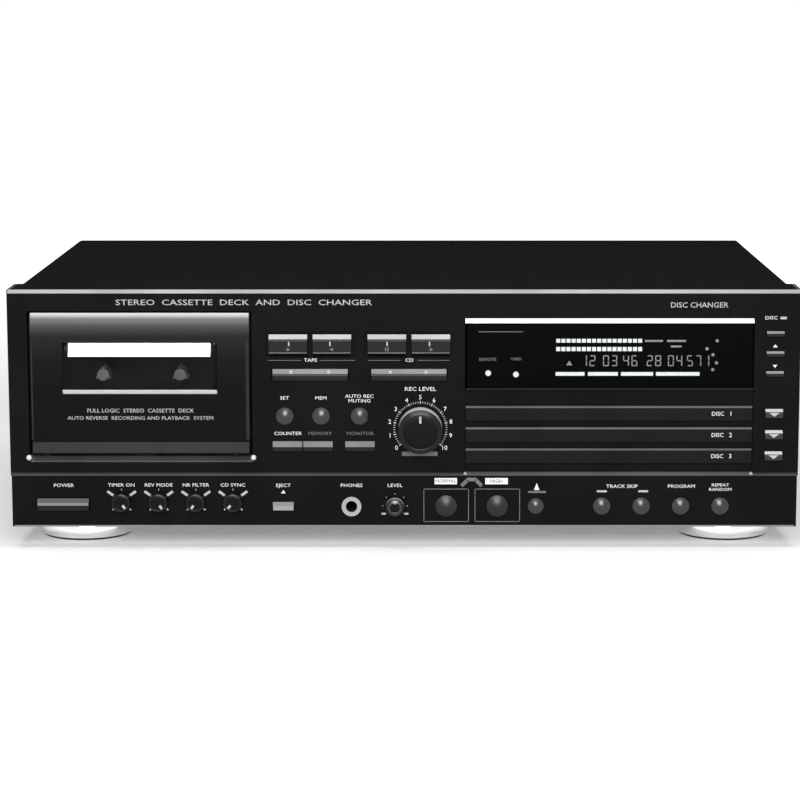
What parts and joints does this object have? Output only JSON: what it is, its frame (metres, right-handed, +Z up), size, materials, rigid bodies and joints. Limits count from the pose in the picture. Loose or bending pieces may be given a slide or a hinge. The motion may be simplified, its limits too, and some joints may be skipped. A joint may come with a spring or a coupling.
{
  "type": "cd cassette deck",
  "caption": "Full-width black hi-fi unit with a cassette deck behind a windowed door and three disc drawers under a display, with keys, knobs and four round feet.",
  "frame": {"origin": "on the floor, under the middle of the overall box", "axes": "+Z up, -Y out of the front face, +X to the right as seen from the front"},
  "size_m": [0.435, 0.308, 0.144],
  "materials": {
    "panel_black": "satin",
    "cover_black": "fine texture",
    "door_black": "satin",
    "smoked_window": "polished",
    "tray_black": "satin",
    "key_black": "satin",
    "key_silver": "satin",
    "knob_black": "satin",
    "holder_plastic": "satin",
    "deck_plastic": "matte",
    "hub_plastic": "satin",
    "polished_steel": "polished",
    "zinc_steel": "passivated",
    "transformer_steel": "varnished",
    "board_green": "matte",
    "socket_black": "satin",
    "jack_chrome": "polished",
    "foot_black": "satin"
  },
  "bodies": {
    "unit": {"front_panel": "panel_black", "display_window": "smoked_window", "chassis_pan": "zinc_steel", "top_cover": "cover_black", "rear_panel": "cover_black", "feet": "foot_black", "circuit_boards": "board_green", "power_transformer": "transformer_steel", "rear_sockets": "socket_black", "headphone_jack": "jack_chrome", "deck_frame": "deck_plastic", "tray_cage": "deck_plastic"},
    "cassette_door": {"door_shell": "door_black", "door_window": "smoked_window", "cassette_holder": "holder_plastic"},
    "bar_key_1": {"bar_key_1": "key_black"},
    "bar_key_2": {"bar_key_2": "key_black"},
    "bar_key_3": {"bar_key_3": "key_black"},
    "capstan": {"capstan": "polished_steel"},
    "disc_tray_1": {"disc_tray_1": "tray_black"},
    "disc_tray_2": {"disc_tray_2": "tray_black"},
    "disc_tray_3": {"disc_tray_3": "tray_black"},
    "dub_key_1": {"dub_key_1": "key_black"},
    "dub_key_2": {"dub_key_2": "key_black"},
    "eject_key": {"eject_key": "key_black"},
    "head_carriage": {"head_carriage": "zinc_steel"},
    "laser_sled": {"laser_sled": "zinc_steel"},
    "level_knob": {"level_knob": "knob_black"},
    "lower_key_1": {"lower_key_1": "key_black"},
    "lower_key_2": {"lower_key_2": "key_black"},
    "lower_key_3": {"lower_key_3": "key_black"},
    "lower_key_4": {"lower_key_4": "key_black"},
    "open_key_1": {"open_key_1": "key_silver"},
    "open_key_2": {"open_key_2": "key_silver"},
    "open_key_3": {"open_key_3": "key_silver"},
    "phones_knob": {"phones_knob": "knob_black"},
    "player_lift": {"player_lift": "deck_plastic"},
    "power_key": {"power_key": "key_black"},
    "reel_hub_left": {"reel_hub_left": "hub_plastic"},
    "reel_hub_right": {"reel_hub_right": "hub_plastic"},
    "round_key_1": {"round_key_1": "key_black"},
    "round_key_2": {"round_key_2": "key_black"},
    "round_key_3": {"round_key_3": "key_black"},
    "search_key": {"search_key": "key_black"},
    "selector_knob_1": {"selector_knob_1": "knob_black"},
    "selector_knob_2": {"selector_knob_2": "knob_black"},
    "selector_knob_3": {"selector_knob_3": "knob_black"},
    "selector_knob_4": {"selector_knob_4": "knob_black"},
    "side_key_1": {"side_key_1": "key_black"},
    "side_key_2": {"side_key_2": "key_black"},
    "side_key_3": {"side_key_3": "key_black"},
    "skip_rocker_1": {"skip_rocker_1": "key_black"},
    "skip_rocker_2": {"skip_rocker_2": "key_black"},
    "transport_key_1": {"transport_key_1": "key_black"},
    "transport_key_2": {"transport_key_2": "key_black"},
    "transport_key_3": {"transport_key_3": "key_black"},
    "transport_key_4": {"transport_key_4": "key_black"},
    "turntable": {"turntable": "deck_plastic"}
  },
  "joints": [
    {"name": "door_hinge", "type": "hinge", "parent": "unit", "child": "cassette_door", "pos_m": [-0.1451, -0.134, 0.0507], "axis": [1, 0, 0], "range_deg": [0, 35]},
    {"name": "head_carriage_lift", "type": "slide", "parent": "unit", "child": "head_carriage", "axis": [0, 0, 1], "range_m": [0, 0.006], "stiffness_N_per_m": 30},
    {"name": "reel_hub_left_spin", "type": "hinge", "parent": "unit", "child": "reel_hub_left", "pos_m": [-0.16635, -0.1167, 0.096], "axis": [0, 1, 0], "continuous": true},
    {"name": "reel_hub_right_spin", "type": "hinge", "parent": "unit", "child": "reel_hub_right", "pos_m": [-0.12385, -0.1167, 0.096], "axis": [0, 1, 0], "continuous": true},
    {"name": "capstan_spin", "type": "hinge", "parent": "unit", "child": "capstan", "pos_m": [-0.1171, -0.1167, 0.0665], "axis": [0, 1, 0], "continuous": true},
    {"name": "disc_tray_1_slide", "type": "slide", "parent": "unit", "child": "disc_tray_1", "axis": [0, -1, 0], "range_m": [0, 0.13]},
    {"name": "disc_tray_2_slide", "type": "slide", "parent": "unit", "child": "disc_tray_2", "axis": [0, -1, 0], "range_m": [0, 0.13]},
    {"name": "disc_tray_3_slide", "type": "slide", "parent": "unit", "child": "disc_tray_3", "axis": [0, -1, 0], "range_m": [0, 0.13]},
    {"name": "player_lift_rise", "type": "slide", "parent": "unit", "child": "player_lift", "axis": [0, 0, 1], "range_m": [0, 0.02368]},
    {"name": "turntable_spin", "type": "hinge", "parent": "player_lift", "child": "turntable", "pos_m": [0.11265, 0.062, 0.031], "axis": [0, 0, 1], "continuous": true},
    {"name": "laser_sled_slide", "type": "slide", "parent": "player_lift", "child": "laser_sled", "axis": [0, 1, 0], "range_m": [0, 0.033]},
    {"name": "bar_key_1_press", "type": "slide", "parent": "unit", "child": "bar_key_1", "axis": [0, 1, 0], "range_m": [0, 0.0012], "stiffness_N_per_m": 300},
    {"name": "bar_key_2_press", "type": "slide", "parent": "unit", "child": "bar_key_2", "axis": [0, 1, 0], "range_m": [0, 0.0012], "stiffness_N_per_m": 300},
    {"name": "bar_key_3_press", "type": "slide", "parent": "unit", "child": "bar_key_3", "axis": [0, 1, 0], "range_m": [0, 0.0012], "stiffness_N_per_m": 300},
    {"name": "dub_key_1_press", "type": "slide", "parent": "unit", "child": "dub_key_1", "axis": [0, 1, 0], "range_m": [0, 0.0012], "stiffness_N_per_m": 300},
    {"name": "dub_key_2_press", "type": "slide", "parent": "unit", "child": "dub_key_2", "axis": [0, 1, 0], "range_m": [0, 0.0012], "stiffness_N_per_m": 300},
    {"name": "eject_key_press", "type": "slide", "parent": "unit", "child": "eject_key", "axis": [0, 1, 0], "range_m": [0, 0.0012], "stiffness_N_per_m": 300},
    {"name": "lower_key_1_press", "type": "slide", "parent": "unit", "child": "lower_key_1", "axis": [0, 1, 0], "range_m": [0, 0.0012], "stiffness_N_per_m": 300},
    {"name": "lower_key_2_press", "type": "slide", "parent": "unit", "child": "lower_key_2", "axis": [0, 1, 0], "range_m": [0, 0.0012], "stiffness_N_per_m": 300},
    {"name": "lower_key_3_press", "type": "slide", "parent": "unit", "child": "lower_key_3", "axis": [0, 1, 0], "range_m": [0, 0.0012], "stiffness_N_per_m": 300},
    {"name": "lower_key_4_press", "type": "slide", "parent": "unit", "child": "lower_key_4", "axis": [0, 1, 0], "range_m": [0, 0.0012], "stiffness_N_per_m": 300},
    {"name": "open_key_1_press", "type": "slide", "parent": "unit", "child": "open_key_1", "axis": [0, 1, 0], "range_m": [0, 0.0012], "stiffness_N_per_m": 300},
    {"name": "open_key_2_press", "type": "slide", "parent": "unit", "child": "open_key_2", "axis": [0, 1, 0], "range_m": [0, 0.0012], "stiffness_N_per_m": 300},
    {"name": "open_key_3_press", "type": "slide", "parent": "unit", "child": "open_key_3", "axis": [0, 1, 0], "range_m": [0, 0.0012], "stiffness_N_per_m": 300},
    {"name": "power_key_press", "type": "slide", "parent": "unit", "child": "power_key", "axis": [0, 1, 0], "range_m": [0, 0.003], "stiffness_N_per_m": 300},
    {"name": "round_key_1_press", "type": "slide", "parent": "unit", "child": "round_key_1", "axis": [0, 1, 0], "range_m": [0, 0.0012], "stiffness_N_per_m": 300},
    {"name": "round_key_2_press", "type": "slide", "parent": "unit", "child": "round_key_2", "axis": [0, 1, 0], "range_m": [0, 0.0012], "stiffness_N_per_m": 300},
    {"name": "round_key_3_press", "type": "slide", "parent": "unit", "child": "round_key_3", "axis": [0, 1, 0], "range_m": [0, 0.0012], "stiffness_N_per_m": 300},
    {"name": "search_key_press", "type": "slide", "parent": "unit", "child": "search_key", "axis": [0, 1, 0], "range_m": [0, 0.0012], "stiffness_N_per_m": 300},
    {"name": "side_key_1_press", "type": "slide", "parent": "unit", "child": "side_key_1", "axis": [0, 1, 0], "range_m": [0, 0.0012], "stiffness_N_per_m": 300},
    {"name": "side_key_2_press", "type": "slide", "parent": "unit", "child": "side_key_2", "axis": [0, 1, 0], "range_m": [0, 0.0012], "stiffness_N_per_m": 300},
    {"name": "side_key_3_press", "type": "slide", "parent": "unit", "child": "side_key_3", "axis": [0, 1, 0], "range_m": [0, 0.0012], "stiffness_N_per_m": 300},
    {"name": "transport_key_1_press", "type": "slide", "parent": "unit", "child": "transport_key_1", "axis": [0, 1, 0], "range_m": [0, 0.0012], "stiffness_N_per_m": 300},
    {"name": "transport_key_2_press", "type": "slide", "parent": "unit", "child": "transport_key_2", "axis": [0, 1, 0], "range_m": [0, 0.0012], "stiffness_N_per_m": 300},
    {"name": "transport_key_3_press", "type": "slide", "parent": "unit", "child": "transport_key_3", "axis": [0, 1, 0], "range_m": [0, 0.0012], "stiffness_N_per_m": 300},
    {"name": "transport_key_4_press", "type": "slide", "parent": "unit", "child": "transport_key_4", "axis": [0, 1, 0], "range_m": [0, 0.0012], "stiffness_N_per_m": 300},
    {"name": "skip_rocker_1_tilt", "type": "hinge", "parent": "unit", "child": "skip_rocker_1", "pos_m": [-0.0516, -0.132, 0.0973], "axis": [0, 0, 1], "range_deg": [-2.5, 2.5], "stiffness_Nm_per_rad": 0.34},
    {"name": "skip_rocker_2_tilt", "type": "hinge", "parent": "unit", "child": "skip_rocker_2", "pos_m": [0.0026, -0.132, 0.0973], "axis": [0, 0, 1], "range_deg": [-2.5, 2.5], "stiffness_Nm_per_rad": 0.34},
    {"name": "level_knob_turn", "type": "hinge", "parent": "unit", "child": "level_knob", "pos_m": [0.0089, -0.139, 0.0674], "axis": [0, 1, 0], "range_deg": [-150, 150]},
    {"name": "phones_knob_turn", "type": "hinge", "parent": "unit", "child": "phones_knob", "pos_m": [-0.0052, -0.139, 0.0237], "axis": [0, 1, 0], "range_deg": [-150, 150]},
    {"name": "selector_knob_1_turn", "type": "hinge", "parent": "unit", "child": "selector_knob_1", "pos_m": [-0.1564, -0.139, 0.0264], "axis": [0, 1, 0], "range_deg": [-40, 40]},
    {"name": "selector_knob_2_turn", "type": "hinge", "parent": "unit", "child": "selector_knob_2", "pos_m": [-0.13585, -0.139, 0.0264], "axis": [0, 1, 0], "range_deg": [-40, 40]},
    {"name": "selector_knob_3_turn", "type": "hinge", "parent": "unit", "child": "selector_knob_3", "pos_m": [-0.1153, -0.139, 0.0264], "axis": [0, 1, 0], "range_deg": [-40, 40]},
    {"name": "selector_knob_4_turn", "type": "hinge", "parent": "unit", "child": "selector_knob_4", "pos_m": [-0.09475, -0.139, 0.0264], "axis": [0, 1, 0], "range_deg": [-40, 40]}
  ]
}
